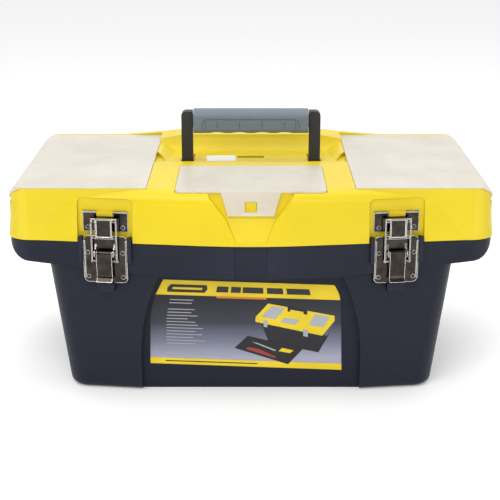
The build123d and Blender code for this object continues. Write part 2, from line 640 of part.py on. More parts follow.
with BuildPart() as lid:
    add(outer_form)
    add(lid_form(WALL, DECK_SKIN), mode=Mode.SUBTRACT)
    add(lid_blocks.part)
    for side in SIDES:
        for which in SIDES:
            knuckle(knuckle_span(side, which), SEAM_Z + 14, 0)
    for side in SIDES:
        # organiser seat and compartments
        add(cover_rebate(side), mode=Mode.SUBTRACT)
        x_span = sorted((side * WELL_INNER_X, side * WELL_OUTER_X))
        y_span = (WELL_FRONT_Y, WELL_BACK_Y)
        add(pocket_grid(x_span, y_span, WELL_FLOOR_Z, 1, WELL_ROWS), mode=Mode.SUBTRACT)
        # handle pit and pivot bore
        pit = sorted((side * PIT_X[0], side * PIT_X[1]))
        block(pit, (PIVOT_Y - ARM_DEPTH / 2 - 3, PIT_BACK_Y), (PIT_FLOOR_Z, DECK_Z + 9), Mode.SUBTRACT)
        start = (side * (PIT_X[0] - 2.5), PIVOT_Y, PIVOT_Z)
        length = PIT_X[1] - PIT_X[0] + 5
        rod(start, (side, 0, 0), HANDLE_PIN_R + PIN_CLEAR, length, Mode.SUBTRACT)
        # latch pocket, open at the bottom
        with BuildSketch(latch_plane(side, 0, POCKET_N)) as pocket:
            with Locations((0, (LID_Z - 20 + POCKET_TOP_Z) / 2)):
                RectangleRounded(2 * POCKET_HALF, POCKET_TOP_Z - LID_Z + 20, 5)
        extrude(amount=18, mode=Mode.SUBTRACT)
        add(rivets(side, STRIKE_PLACES, STRIKE_FACE, 0, False), mode=Mode.SUBTRACT)
        latch_block(side, (-8, 8), (STRIKE_HIGH_Z - 4.6, STRIKE_HIGH_Z), (POCKET_N - 1, POCKET_N + 3.5))
        # hinge relief and pin bore
        knuckle(knuckle_span(side, 0), 0, GAP, Mode.SUBTRACT)
        start = knuckle_span(side, -1)[0] - 1
        length = 3 * KNUCKLE_LENGTH + 4
        rod((start, HINGE_Y, SEAM_Z), (1, 0, 0), HINGE_PIN_R + PIN_CLEAR, length, Mode.SUBTRACT)
    # handle recess, its floor running up into the hill's hollow front
    add(recess.part, mode=Mode.SUBTRACT)
    slot_y = (SLOT_Y - SLOT_WIDTH, SLOT_Y)
    block((-SLOT_HALF, SLOT_HALF), slot_y, (RECESS_BACK_Z - 9, DECK_Z), Mode.SUBTRACT)
    for side in SIDES:
        add(finger_notch(side), mode=Mode.SUBTRACT)
    # middle organiser
    mid_edge = MID_HALF + GAP
    block((-mid_edge, mid_edge), (-FRONT - 5, MID_BACK_Y), (SEAT_Z, DECK_Z + 9), Mode.SUBTRACT)
    rod((-mid_edge, MID_BACK_Y, MID_AXIS_Z), (1, 0, 0), MID_BARREL_R + GAP, 2 * mid_edge, Mode.SUBTRACT)
    barrel_y = (MID_BACK_Y - 1, MID_BACK_Y + MID_BARREL_R + GAP)
    block((-mid_edge, mid_edge), barrel_y, (MID_AXIS_Z, DECK_Z + 9), Mode.SUBTRACT)
    stub = MID_HALF + STUB_LENGTH
    rod((-stub, MID_BACK_Y, MID_AXIS_Z), (1, 0, 0), STUB_R + STUB_CLEAR, 2 * stub, Mode.SUBTRACT)
    well_y = (MID_WELL_FRONT_Y, MID_WELL_BACK_Y)
    mid_well = pocket_grid((-MID_WELL_HALF, MID_WELL_HALF), well_y, MID_WELL_FLOOR_Z, 1, 1, MID_WELL_LEAN)
    add(mid_well, mode=Mode.SUBTRACT)
    add(funnel.part, mode=Mode.SUBTRACT)
    for side in SIDES:
        # ears that hold each side cover's hinge stubs
        for end in SIDES:
            low = end * (BARREL_HALF + 0.4)
            y_span = sorted((low, low + end * EAR_LENGTH))
            rod((side * COVER_AXIS_X, y_span[0], COVER_AXIS_Z), (0, 1, 0), BARREL_R + 0.5, EAR_LENGTH)
            web = sorted((side * (COVER_AXIS_X - BARREL_R), side * (COVER_AXIS_X + BARREL_R)))
            block(web, y_span, (COVER_AXIS_Z - 6, COVER_AXIS_Z))
        stub = BARREL_HALF + STUB_LENGTH
        start = (side * COVER_AXIS_X, -stub, COVER_AXIS_Z)
        rod(start, (0, 1, 0), STUB_R + STUB_CLEAR, 2 * stub, Mode.SUBTRACT)
    # catch boss behind the middle cover's tongue
    boss_y = TONGUE_TIP_Y + COVER_T + 0.3 + 0.28 * (193 - TONGUE_TIP_Z)
    block((-5.5, 5.5), (boss_y + 1.2, boss_y + 6), (193, 202))
save(lid.part, "lid")

# ================================================================ covers
def side_cover(side):
    """A clear lid for one end organiser, turned down at its outer end into a hinge barrel."""
    out = COVER_AXIS_X + BARREL_R
    with BuildPart() as cover:
        top = COVER_Z + COVER_T
        with BuildSketch(Plane.XZ.offset(-COVER_FRONT_Y)):
            with BuildLine():
                high = (side * (COVER_BEND_X + 10.4), top - 4.0)
                low = (side * (COVER_BEND_X + 8.8), top - 5.6)
                bend = side * COVER_BEND_X
                inner = side * COVER_INNER_X
                hem_z = COVER_AXIS_Z + 1
                Polyline((bend, COVER_Z), (inner, COVER_Z), (inner, top), (bend, top))
                ThreePointArc((bend, top), high, (side * out, hem_z))
                Line((side * out, hem_z), (side * (out - COVER_T), hem_z))
                ThreePointArc((side * (out - COVER_T), hem_z), low, (bend, COVER_Z))
            make_face()
        extrude(amount=COVER_FRONT_Y - COVER_BACK_Y)
        with BuildSketch(Plane.XY.offset(COVER_AXIS_Z - 10)):
            with BuildLine():
                far = side * (out + 5)
                ends = ((inner, COVER_FRONT_Y), (far, COVER_FRONT_Y), (far, COVER_BACK_Y))
                Polyline(*ends, (inner, COVER_BACK_Y), close=True)
            make_face()
        extrude(amount=60, mode=Mode.INTERSECT)
        hem_top = COVER_AXIS_Z + BARREL_R + 1.2
        for end in SIDES:
            low = end * (BARREL_HALF + 0.01)
            span = sorted((low, end * 200))
            hem = sorted((side * (COVER_BEND_X + 4), side * (out + 3)))
            block(hem, span, (COVER_AXIS_Z - 5, hem_top), Mode.SUBTRACT)
        rod((side * COVER_AXIS_X, -BARREL_HALF, COVER_AXIS_Z), (0, 1, 0), BARREL_R, 2 * BARREL_HALF)
        with BuildSketch(Plane.XY.offset(COVER_Z - 30)) as corners:
            with Locations(((inner + side * out) / 2, (COVER_FRONT_Y + COVER_BACK_Y) / 2)):
                Rectangle(out - COVER_INNER_X, COVER_BACK_Y - COVER_FRONT_Y)
            ends = [v for v in corners.vertices() if abs(v.X) > COVER_BEND_X]
            fillet(ends, COVER_RADIUS)
        extrude(amount=60, mode=Mode.INTERSECT)
        stub = BARREL_HALF + STUB_LENGTH - 0.3
        rod((side * COVER_AXIS_X, -stub, COVER_AXIS_Z), (0, 1, 0), STUB_R, 2 * stub)
        # stiffening ribs underneath
        for y in (-60, 60):
            inner_x = side * (WELL_INNER_X + 2)
            rib = sorted((inner_x, side * (WELL_INNER_X + 30)))
            block(rib, (y - 0.6, y + 0.6), (COVER_Z - 0.2, COVER_Z))
    return cover.part


for side, name in ((-1, "left_cover"), (1, "right_cover")):
    piece = side_cover(side)
    save(piece, name)

with BuildPart() as tongue:
    top_z = COVER_Z + COVER_T
    tip = (TONGUE_TIP_Y, TONGUE_TIP_Z)
    side_view = ((TONGUE_TOP_Y, top_z), tip, (tip[0] + COVER_T, tip[1]))
    side_view += ((TONGUE_TOP_Y + COVER_T, COVER_Z), (TONGUE_TOP_Y + 3 * COVER_T, top_z))
    prism(Plane.YZ, side_view, REACH)
    face = ((TONGUE_TOP_HALF, top_z), (TONGUE_TIP_HALF, TONGUE_TIP_Z))
    face += ((-TONGUE_TIP_HALF, TONGUE_TIP_Z), (-TONGUE_TOP_HALF, top_z))
    prism(Plane.XZ, face, REACH, mode=Mode.INTERSECT)
    # window for the catch
    block((-6, 6), (-FRONT - 5, TONGUE_TOP_Y + 5), (192.5, 202.5), Mode.SUBTRACT)

with BuildPart() as middle_cover:
    block((-MID_HALF, MID_HALF), (TONGUE_TOP_Y, MID_BACK_Y), (COVER_Z, COVER_Z + COVER_T))
    corners = [e for e in middle_cover.edges().filter_by(Axis.Z) if e.center().Y < TONGUE_TOP_Y + 1]
    fillet(corners, 6)
    rod((-MID_HALF + 0.2, MID_BACK_Y, MID_AXIS_Z), (1, 0, 0), MID_BARREL_R, 2 * MID_HALF - 0.4)
    stub = MID_HALF + STUB_LENGTH - 0.3
    rod((-stub, MID_BACK_Y, MID_AXIS_Z), (1, 0, 0), STUB_R, 2 * stub)
    add(tongue.part)
save(middle_cover.part, "middle_cover")

# ================================================================ handle
ARM_INNER = HANDLE_HALF - ARM_WIDTH
core_mid_z = (GRIP_LOW_Z + GRIP_HIGH_Z) / 2
with BuildPart() as handle_frame:
    with BuildSketch(Plane.XZ.offset(-PIVOT_Y)):
        low_z = PIVOT_Z - ARM_DEPTH / 2
        with BuildLine():
            core_low, core_high = core_mid_z - CORE_HEIGHT / 2, core_mid_z + CORE_HEIGHT / 2
            Polyline(
                (-HANDLE_HALF, low_z),
                (-HANDLE_HALF, HANDLE_TOP_Z),
                (-ARM_INNER, HANDLE_TOP_Z),
                (-ARM_INNER, core_high),
                (ARM_INNER, core_high),
                (ARM_INNER, HANDLE_TOP_Z),
                (HANDLE_HALF, HANDLE_TOP_Z),
                (HANDLE_HALF, low_z),
                (ARM_INNER, low_z),
                (ARM_INNER, core_low),
                (-ARM_INNER, core_low),
                (-ARM_INNER, low_z),
                close=True,
            )
        make_face()
    extrude(amount=ARM_DEPTH / 2, both=True)
    outer_edges = [e for e in handle_frame.edges().filter_by(Axis.Y) if abs(e.center().X) > HANDLE_HALF - 0.1]
    fillet([e for e in outer_edges if e.center().Z > HANDLE_TOP_Z - 1], 5)
    feet = [e for e in handle_frame.edges().filter_by(Axis.X) if e.center().Z < low_z + 0.1]
    fillet(feet, ARM_DEPTH / 2 - 0.2)
    for side in SIDES:
        start = (side * (ARM_INNER - 1), PIVOT_Y, PIVOT_Z)
        rod(start, (side, 0, 0), HANDLE_PIN_R + PIN_CLEAR, ARM_WIDTH + 2, Mode.SUBTRACT)
save(handle_frame.part, "handle_frame")

with BuildPart() as handle_grip:
    with BuildSketch(Plane.YZ.offset(-GRIP_HALF)):
        with Locations((PIVOT_Y, core_mid_z)):
            RectangleRounded(GRIP_DEPTH, GRIP_HIGH_Z - GRIP_LOW_Z, 7)
    extrude(amount=2 * GRIP_HALF)
    # finger scallops along the underside
    for x in (-36, -12, 12, 36):
        rod((x, PIVOT_Y - GRIP_DEPTH, GRIP_LOW_Z - 23.0), (0, 1, 0), 25.0, 2 * GRIP_DEPTH, Mode.SUBTRACT)
    # finger lines and a sunk outline on both faces
    for face in SIDES:
        face_y = PIVOT_Y + face * GRIP_DEPTH / 2
        y_span = (face_y - GROOVE, face_y + GROOVE)
        for x in (-48, -36, -12, 12, 36, 48):
            block((x - 0.4, x + 0.4), y_span, (GRIP_LOW_Z + 1, GROOVE_TOP_Z - 3), Mode.SUBTRACT)
        with BuildSketch(Plane.XZ.offset(-y_span[1])):
            with Locations((0, GROOVE_TOP_Z - 20)):
                RectangleRounded(104, 40, 6)
                RectangleRounded(102.6, 38.6, 5.3, mode=Mode.SUBTRACT)
        extrude(amount=2 * GROOVE, mode=Mode.SUBTRACT)
    half_core = (ARM_DEPTH / 2, CORE_HEIGHT / 2)
    block(
        (-GRIP_HALF - 1, GRIP_HALF + 1),
        (PIVOT_Y - half_core[0], PIVOT_Y + half_core[0]),
        (core_mid_z - half_core[1], core_mid_z + half_core[1]),
        Mode.SUBTRACT,
    )
save(handle_grip.part, "handle_grip")

for side, name in ((-1, "left_handle_pin"), (1, "right_handle_pin")):
    with BuildPart() as pin:
        start = (side * (PIT_X[0] - 2.2), PIVOT_Y, PIVOT_Z)
        rod(start, (side, 0, 0), HANDLE_PIN_R, PIT_X[1] - PIT_X[0] + 4.4)
    save(pin.part, name)

with BuildPart() as price_sticker:
    tilt = Vector(0, RECESS_FALL, 1).normalized()
    across = Vector(cos(radians(4)), sin(radians(4)), 0)
    across = across - tilt * across.dot(tilt)
    with BuildSketch(Plane(origin=(-32.5, 30, floor_z(30)), x_dir=across, z_dir=tilt)):
        RectangleRounded(32, 33, 1)
    extrude(amount=0.3)
save(price_sticker.part, "price_sticker")

# ================================================================ latches
for side, hand in ((-1, "left"), (1, "right")):
    with BuildPart() as plate:
        mid_z = (PLATE_LOW_Z + PLATE_HIGH_Z) / 2
        with BuildSketch(latch_plane(side, 0, PLATE_BACK)) as face:
            with Locations((0, mid_z)):
                RectangleRounded(2 * PLATE_HALF, PLATE_HIGH_Z - PLATE_LOW_Z, 5)
        extrude(amount=SHEET)
        # rolled rims down both edges
        for u in SIDES:
            rim = sorted((u * (PLATE_HALF - 1.6), u * PLATE_HALF))
            latch_block(side, rim, (PLATE_LOW_Z + 5, PLATE_HIGH_Z - 5), (PLATE_BACK, PLATE_FACE + 1.2))
            ear = sorted((u * (EAR_HALF - SHEET), u * EAR_HALF))
            with BuildSketch(latch_profile_plane(side, ear[0])) as cheek:
                with BuildLine():
                    Polyline(
                        (PLATE_FACE - 0.2, LEVER_Z - 9),
                        (LEVER_N, LEVER_Z - 4.2),
                        (LEVER_N, LEVER_Z + 4.2),
                        (PLATE_FACE - 0.2, LEVER_Z + 9),
                        close=True,
                    )
                make_face()
                with Locations((LEVER_N, LEVER_Z)):
                    Circle(4.2)
            extrude(cheek.sketch.faces(), amount=-SHEET)
        latch_rod(side, LEVER_N, LEVER_Z, LEVER_PIN_R, EAR_HALF + 1, Mode.SUBTRACT)
        add(rivets(side, RIVET_PLACES, PLATE_FACE), mode=Mode.SUBTRACT)
    save(plate.part, f"{hand}_latch_plate")
    save(rivets(side, RIVET_PLACES, PLATE_FACE), f"{hand}_plate_rivets")

    with BuildPart() as lever_pin:
        latch_rod(side, LEVER_N, LEVER_Z, LEVER_PIN_R, EAR_HALF + 0.6)
    save(lever_pin.part, f"{hand}_lever_pin")

    with BuildPart() as strike:
        plate_z = (STRIKE_LOW_Z, STRIKE_HIGH_Z)
        latch_block(side, (-STRIKE_HALF, STRIKE_HALF), plate_z, (POCKET_N, STRIKE_FACE))
        bite_z = (STRIKE_HIGH_Z - 5, STRIKE_HIGH_Z + 1)
        latch_block(side, (-8.5, 8.5), bite_z, (POCKET_N - 1, 3), Mode.SUBTRACT)
        for u in SIDES:
            lip = sorted((u * 9, u * STRIKE_HALF))
            lip_n = (STRIKE_FACE - 0.5, STRIKE_FACE + 1.8)
            latch_block(side, lip, (STRIKE_HIGH_Z - SHEET, STRIKE_HIGH_Z), lip_n)
        latch_block(side, (-9, 9), (180, 180 + SHEET), (STRIKE_FACE - 0.5, -1.0))
        latch_block(side, (-9, 9), (180, 183.5), (-1.0 - SHEET, -1.0))
        add(rivets(side, STRIKE_PLACES, STRIKE_FACE), mode=Mode.SUBTRACT)
    save(strike.part, f"{hand}_strike_plate")
    save(rivets(side, STRIKE_PLACES, STRIKE_FACE), f"{hand}_strike_rivets")

    with BuildPart() as lever:
        top_r = LEVER_N - 0.1
        front_n = LEVER_N + top_r
        outside = ((front_n, LEVER_Z), (6.0, 134), (5.4, 127), (4.2, 127))
        outside += ((3.2, 133), (0.8, 139), (0.8, LEVER_Z))
        prism(latch_profile_plane(side), outside, LEVER_HALF)
        latch_rod(side, LEVER_N, LEVER_Z, top_r, LEVER_HALF)
        hollow = ((front_n - SHEET, LEVER_Z), (6.0 - SHEET, 134), (5.4 - SHEET, 125))
        hollow += ((-4, 125), (-4, LEVER_Z))
        prism(latch_profile_plane(side), hollow, LEVER_HALF - SHEET, mode=Mode.SUBTRACT)
        latch_rod(side, LEVER_N, LEVER_Z, top_r - SHEET, LEVER_HALF - SHEET, Mode.SUBTRACT)
        tip = ((5.4, 127.2), (4.2, 127.2), (4.2, 125.2), (8.0, 121.2), (9.0, 122.0), (6.2, 125.2))
        prism(latch_profile_plane(side), tip, LEVER_HALF)
        latch_rod(side, LEVER_N, LEVER_Z, LEVER_PIN_R + PIN_CLEAR, LEVER_HALF + 1, Mode.SUBTRACT)
        latch_rod(side, LINK_N, LINK_Z, LINK_PIN_R, LEVER_HALF + 1, Mode.SUBTRACT)
    save(lever.part, f"{hand}_latch_lever")

    with BuildPart() as link_pin:
        latch_rod(side, LINK_N, LINK_Z, LINK_PIN_R, LINK_HALF + 0.5)
    save(link_pin.part, f"{hand}_link_pin")

    # raised rim round the link's face
    with BuildPart() as rim:
        face_n = 4.2
        latch_block(side, (-FRAME_HALF, FRAME_HALF), (FRAME_LOW_Z, LINK_TOP_Z), (face_n, face_n + 0.8))
        inside = FRAME_HALF - 1.2
        hollow_z = (FRAME_LOW_Z + 1.8, LINK_TOP_Z - 1.4)
        latch_block(side, (-inside, inside), hollow_z, (face_n - 1, face_n + 2), Mode.SUBTRACT)

    with BuildPart() as link:
        for u in SIDES:
            start_u = max(u * LINK_HALF, u * (LINK_HALF - SHEET))
            arm = ((1.0, LINK_Z), (1.0, 163), (3.0, LINK_TOP_Z), (face_n, LINK_TOP_Z), (face_n, LINK_Z))
            with BuildSketch(latch_profile_plane(side, start_u - SHEET)) as cheek:
                with BuildLine():
                    Polyline(*arm, close=True)
                make_face()
                with Locations((LINK_N + 0.1, LINK_Z)):
                    Circle(2.0)
            extrude(cheek.sketch.faces(), amount=-SHEET)
        latch_block(side, (-LINK_HALF, LINK_HALF), (LINK_TOP_Z - 4, LINK_TOP_Z), (1.8, 1.8 + SHEET))
        latch_block(side, (-FRAME_HALF, FRAME_HALF), (FRAME_LOW_Z, LINK_TOP_Z), (face_n - SHEET, face_n))
        latch_block(side, (-LINK_HALF, LINK_HALF), (FRAME_LOW_Z, FRAME_LOW_Z + 3), (1.8, face_n - 0.4))
        add(rim.part)
        latch_block(side, (-LINK_HALF, LINK_HALF), (LINK_TOP_Z - SHEET, LINK_TOP_Z), (-0.5, face_n))
        latch_block(side, (-LINK_HALF + 3, LINK_HALF - 3), (LINK_TOP_Z - 4, LINK_TOP_Z), (-0.5, -0.5 + SHEET))
        latch_rod(side, LINK_N, LINK_Z, LINK_PIN_R + PIN_CLEAR, LINK_HALF + 1, Mode.SUBTRACT)
    save(link.part, f"{hand}_latch_link")

    with BuildPart() as hinge_pin:
        start = knuckle_span(side, -1)[0] + 0.5
        rod((start, HINGE_Y, SEAM_Z), (1, 0, 0), HINGE_PIN_R, 3 * KNUCKLE_LENGTH + 2 * KNUCKLE_GAP - 1)
    save(hinge_pin.part, f"{hand}_hinge_pin")

# ================================================================ tote tray
with BuildPart() as tote_tray:
    with BuildSketch(Plane.XY.offset(TRAY_LOW_Z)):
        add(rounded(TRAY_HALF - 6, TRAY_FRONT_Y + 3, TRAY_BACK_Y - 3, 14))
    with BuildSketch(Plane.XY.offset(TRAY_TOP_Z)):
        add(rounded(TRAY_HALF, TRAY_FRONT_Y, TRAY_BACK_Y, 16))
    loft(ruled=True)
    with BuildSketch(Plane.XY.offset(TRAY_RIM_Z)):
        add(rounded(TRAY_RIM_HALF, TRAY_FRONT_Y, TRAY_BACK_Y, 10))
    extrude(amount=TRAY_WALL)
    # a long trough in front of three pockets
    half = TRAY_HALF - 6 - TRAY_WALL
    low_z = TRAY_LOW_Z + TRAY_WALL
    front_y = (TRAY_FRONT_Y + 3 + TRAY_WALL, TRAY_SPLIT_Y - TRAY_WALL / 2)
    back_y = (TRAY_SPLIT_Y + TRAY_WALL / 2, TRAY_BACK_Y - 3 - TRAY_WALL)
    add(pocket_grid((-half, half), front_y, low_z, 1, 1), mode=Mode.SUBTRACT)
    add(pocket_grid((-half, half), back_y, low_z, 3, 1), mode=Mode.SUBTRACT)
    # carrying handle along the middle partition
    block((-60, 60), (TRAY_SPLIT_Y - 3, TRAY_SPLIT_Y + 3), (TRAY_TOP_Z - 4, TRAY_TOP_Z + 10))
    uprights = [e for e in tote_tray.edges().filter_by(Axis.Y) if e.center().Z > TRAY_TOP_Z + 5]
    fillet(uprights, 9)
    block((-45, 45), (TRAY_SPLIT_Y - 8, TRAY_SPLIT_Y + 8), (TRAY_TOP_Z - 16, TRAY_TOP_Z + 5), Mode.SUBTRACT)
save(tote_tray.part, "tote_tray")
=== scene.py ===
"""Looks for the carpenter's toolbox: moulded plastics, plated latches, printed label, studio and camera."""

import json
import math

import bmesh
import bpy
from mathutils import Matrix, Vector


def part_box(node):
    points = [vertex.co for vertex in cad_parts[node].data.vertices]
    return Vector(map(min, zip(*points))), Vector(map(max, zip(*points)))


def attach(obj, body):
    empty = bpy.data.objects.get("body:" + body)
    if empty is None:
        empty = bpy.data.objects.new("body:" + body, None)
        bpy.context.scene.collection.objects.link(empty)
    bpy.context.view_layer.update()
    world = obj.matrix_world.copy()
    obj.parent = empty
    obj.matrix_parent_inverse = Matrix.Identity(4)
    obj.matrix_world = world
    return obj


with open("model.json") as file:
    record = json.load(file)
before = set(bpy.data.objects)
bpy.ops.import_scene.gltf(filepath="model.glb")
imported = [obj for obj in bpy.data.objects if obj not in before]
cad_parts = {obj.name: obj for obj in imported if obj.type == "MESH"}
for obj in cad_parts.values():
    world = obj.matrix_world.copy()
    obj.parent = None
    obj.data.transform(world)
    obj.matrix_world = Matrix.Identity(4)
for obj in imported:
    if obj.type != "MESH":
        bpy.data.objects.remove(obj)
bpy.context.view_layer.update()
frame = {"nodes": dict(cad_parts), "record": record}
nodes = frame["nodes"]


# ---------------------------------------------------------------- material helpers
def shader(name, color, roughness, **sockets):
    """A new material with its Principled shader set; returns (material, node tree, shader)."""
    material = bpy.data.materials.new(name)
    material.use_nodes = True
    tree = material.node_tree
    principled = tree.nodes["Principled BSDF"]
    principled.inputs["Base Color"].default_value = (*color, 1)
    principled.inputs["Roughness"].default_value = roughness
    for key, value in sockets.items():
        principled.inputs[key.replace("_", " ")].default_value = value
    return material, tree, principled


def node(tree, kind, **values):
    """A shader node with its sockets and properties set."""
    made = tree.nodes.new(kind)
    for key, value in values.items():
        if key in made.inputs:
            made.inputs[key].default_value = value
        else:
            setattr(made, key, value)
    return made


def noise(tree, scale, detail=2.0, rough=0.5):
    """Noise over the object's own coordinates, scale in cycles per metre."""
    where = node(tree, "ShaderNodeTexCoord")
    made = node(tree, "ShaderNodeTexNoise", Scale=scale, Detail=detail, Roughness=rough)
    tree.links.new(where.outputs["Object"], made.inputs["Vector"])
    return made


def span(tree, source, low, high, from_low=0.35, from_high=0.65):
    """source remapped to low..high."""
    made = node(tree, "ShaderNodeMapRange")
    for socket, value in (("From Min", from_low), ("From Max", from_high), ("To Min", low), ("To Max", high)):
        made.inputs[socket].default_value = value
    tree.links.new(source, made.inputs["Value"])
    return made.outputs["Result"]


def mix_colors(tree, factor, first, second):
    """A mix of two colours by a factor socket; a colour may be a value or a socket."""
    made = node(tree, "ShaderNodeMix", data_type="RGBA")
    tree.links.new(factor, made.inputs["Factor"])
    for socket, color in ((made.inputs[6], first), (made.inputs[7], second)):
        if isinstance(color, tuple):
            socket.default_value = (*color, 1)
        else:
            tree.links.new(color, socket)
    return made.outputs[2]


EDGE_RADIUS = 0.0009


def bump(tree, principled, height, strength, distance, edge=EDGE_RADIUS):
    """Fine relief from a height socket, distance in metres, over edges softened to a small radius."""
    made = node(tree, "ShaderNodeBump", Strength=strength, Distance=distance)
    if edge:
        soft = node(tree, "ShaderNodeBevel", Radius=edge, samples=6)
        tree.links.new(soft.outputs["Normal"], made.inputs["Normal"])
    tree.links.new(height, made.inputs["Height"])
    tree.links.new(made.outputs["Normal"], principled.inputs["Normal"])


def moulded(name, color, edge_wear_and_highlight, roughness, grain=2600.0, depth=0.00006, **sockets):
    """Moulded plastic: slow colour drift, spark-eroded grain, edges rubbed paler, faint scuffs."""
    material, tree, principled = shader(name, color, roughness, **sockets)
    drift = noise(tree, 9.0, 4.0)
    scuff = noise(tree, 160.0, 6.0, 0.7)
    geometry = node(tree, "ShaderNodeNewGeometry")
    edge = span(tree, geometry.outputs["Pointiness"], 0.0, 0.4, 0.54, 0.68)
    shade = tuple(c * 0.93 for c in color)
    base = mix_colors(tree, span(tree, drift.outputs["Fac"], 0, 1), shade, color)
    base = mix_colors(tree, edge, base, edge_wear_and_highlight)
    tree.links.new(base, principled.inputs["Base Color"])
    rough = span(tree, scuff.outputs["Fac"], roughness - 0.05, roughness + 0.09)
    tree.links.new(rough, principled.inputs["Roughness"])
    fine = noise(tree, grain, 2.0)
    bump(tree, principled, fine.outputs["Fac"], 0.35, depth)
    return material


def plated(name, color, rim_highlight, roughness):
    """Nickel-plated sheet: drawn lines, stains in the flats, a painted highlight brightening the rims."""
    material, tree, principled = shader(name, color, roughness, Metallic=1.0)
    where = node(tree, "ShaderNodeTexCoord")
    stretch = node(tree, "ShaderNodeMapping")
    stretch.inputs["Scale"].default_value = (3000, 3000, 160)
    tree.links.new(where.outputs["Object"], stretch.inputs["Vector"])
    lines = node(tree, "ShaderNodeTexNoise", Scale=1.0, Detail=2.0)
    tree.links.new(stretch.outputs["Vector"], lines.inputs["Vector"])
    stain = noise(tree, 110.0, 4.0, 0.55)
    dull = tuple(c * 0.55 for c in color)
    base = mix_colors(tree, span(tree, stain.outputs["Fac"], 0, 1), color, dull)
    geometry = node(tree, "ShaderNodeNewGeometry")
    soft = node(tree, "ShaderNodeBevel", Radius=0.0011, samples=8)
    turned = node(tree, "ShaderNodeVectorMath", operation="DOT_PRODUCT")
    tree.links.new(geometry.outputs["Normal"], turned.inputs[0])
    tree.links.new(soft.outputs["Normal"], turned.inputs[1])
    # painted highlight: the pale rim colour is laid where the softened normal turns away from the true one,
    # along rims and edges
    edge_wear_and_highlight = span(tree, turned.outputs["Value"], 1, 0, 0.88, 0.985)
    tree.links.new(mix_colors(tree, edge_wear_and_highlight, base, rim_highlight), principled.inputs["Base Color"])
    rough = span(tree, stain.outputs["Fac"], roughness * 0.8, roughness * 1.5)
    tree.links.new(rough, principled.inputs["Roughness"])
    bump(tree, principled, lines.outputs["Fac"], 0.15, 0.00003, 0.0005)
    return material


YELLOW = moulded("yellow_plastic", (0.77, 0.585, 0.008), (0.86, 0.70, 0.06), 0.34, Specular_IOR_Level=0.32)
NAVY = moulded("navy_plastic", (0.0065, 0.0085, 0.021), (0.024, 0.029, 0.05), 0.44, Specular_IOR_Level=0.26)
GREY = moulded("grey_plastic", (0.022, 0.022, 0.024), (0.06, 0.06, 0.062), 0.46, Specular_IOR_Level=0.35)
GRIP = moulded("grip_rubber", (0.145, 0.18, 0.215), (0.21, 0.25, 0.29), 0.6, 1500.0, 0.00012)
BLACK = moulded("black_plastic", (0.012, 0.012, 0.013), (0.05, 0.05, 0.05), 0.45)
# painted reflection: CHROME's near-black colour stands for the dark room mirrored in its flats; the second
# colour of CHROME and STEEL is the painted rim highlight
CHROME = plated("chrome", (0.055, 0.047, 0.040), (0.93, 0.90, 0.83), 0.17)
STEEL = plated("steel", (0.42, 0.41, 0.40), (0.8, 0.8, 0.78), 0.3)


def frosted():
    """Milky polypropylene: light scatters through it, with flow marks and a fine matt skin."""
    color = (0.94, 0.91, 0.83)
    material, tree, principled = shader("clear_plastic", color, 0.34, Transmission_Weight=0.42, IOR=1.42)
    flow = noise(tree, 14.0, 5.0, 0.6)
    base = mix_colors(tree, span(tree, flow.outputs["Fac"], 0, 1), (0.90, 0.865, 0.775), color)
    tree.links.new(base, principled.inputs["Base Color"])
    alpha = span(tree, flow.outputs["Fac"], 0.78, 0.86)
    tree.links.new(alpha, principled.inputs["Alpha"])
    bump(tree, principled, noise(tree, 1800.0, 2.0).outputs["Fac"], 0.3, 0.00005)
    return material


CLEAR = frosted()


def paper():
    """Coated paper with a fine fibre mottle and a slight sheen."""
    material, tree, principled = shader("sticker_paper", (0.86, 0.87, 0.84), 0.45)
    fibre = noise(tree, 900.0, 4.0)
    base = mix_colors(tree, span(tree, fibre.outputs["Fac"], 0, 1), (0.80, 0.82, 0.78), (0.90, 0.91, 0.89))
    tree.links.new(base, principled.inputs["Base Color"])
    bump(tree, principled, fibre.outputs["Fac"], 0.2, 0.00005)
    return material


PAPER = paper()


def film(name, color):
    """Printed gloss film over board, with slight waviness."""
    material, tree, principled = shader(name, color, 0.32, Specular_IOR_Level=0.3)
    wave = noise(tree, 26.0, 2.0)
    shade = tuple(c * 0.9 for c in color)
    base = mix_colors(tree, span(tree, wave.outputs["Fac"], 0, 1), shade, color)
    tree.links.new(base, principled.inputs["Base Color"])
    bump(tree, principled, wave.outputs["Fac"], 0.5, 0.0006)
    return material


SLOT_MATERIALS = {
    "yellow_plastic": YELLOW,
    "navy_plastic": NAVY,
    "clear_plastic": CLEAR,
    "grey_plastic": GREY,
    "grip_rubber": GRIP,
    "black_plastic": BLACK,
    "chrome": CHROME,
    "steel": STEEL,
    "sticker_paper": PAPER,
}
for part in frame["record"]["subparts"]:
    material = SLOT_MATERIALS.get(part["material_slot"])
    if material:
        mesh = nodes[part["node"]].data
        mesh.materials.clear()
        mesh.materials.append(material)


# ---------------------------------------------------------------- printed label
label_low, label_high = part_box("front_label")
LABEL_Y = label_low.y


